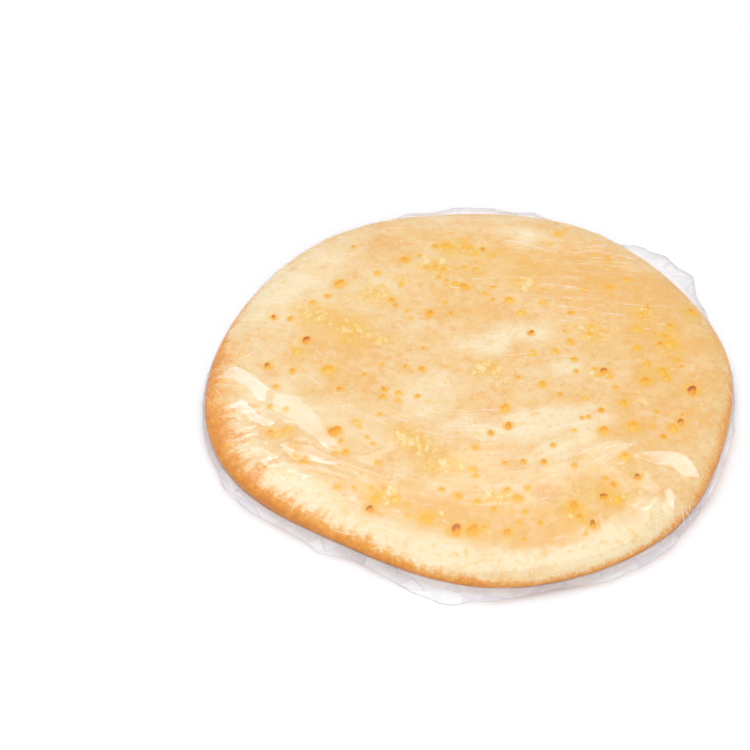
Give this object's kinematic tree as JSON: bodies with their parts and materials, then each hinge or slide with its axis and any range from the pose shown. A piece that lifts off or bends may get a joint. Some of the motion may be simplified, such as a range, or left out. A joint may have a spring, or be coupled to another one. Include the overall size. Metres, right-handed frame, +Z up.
{
  "type": "khachapuri in clear film",
  "caption": "Round cheese-filled khachapuri flatbread sealed in clear shrink film, with browned cheese spots on top and loose crumpled film round its foot.",
  "frame": {"origin": "middle of the bounding box's underside, on the surface the part rests on", "axes": "+Z up through the bread's thickness, with the browned top facing +Z; -Y is the side nearest the picture's camera and +X is to the right of the picture"},
  "size_m": [0.2526, 0.2642, 0.0187],
  "materials": {
    "bread_in_film": "pale baked dough, golden brown on its side, seen through tight clear film",
    "browned_cheese": "greasy yellow cheese with toasted orange-brown tops",
    "clear_film": "thin clear glossy shrink film with fine creases"
  },
  "bodies": {
    "root": {"sealed_bag": "bread_in_film"}
  },
  "joints": []
}
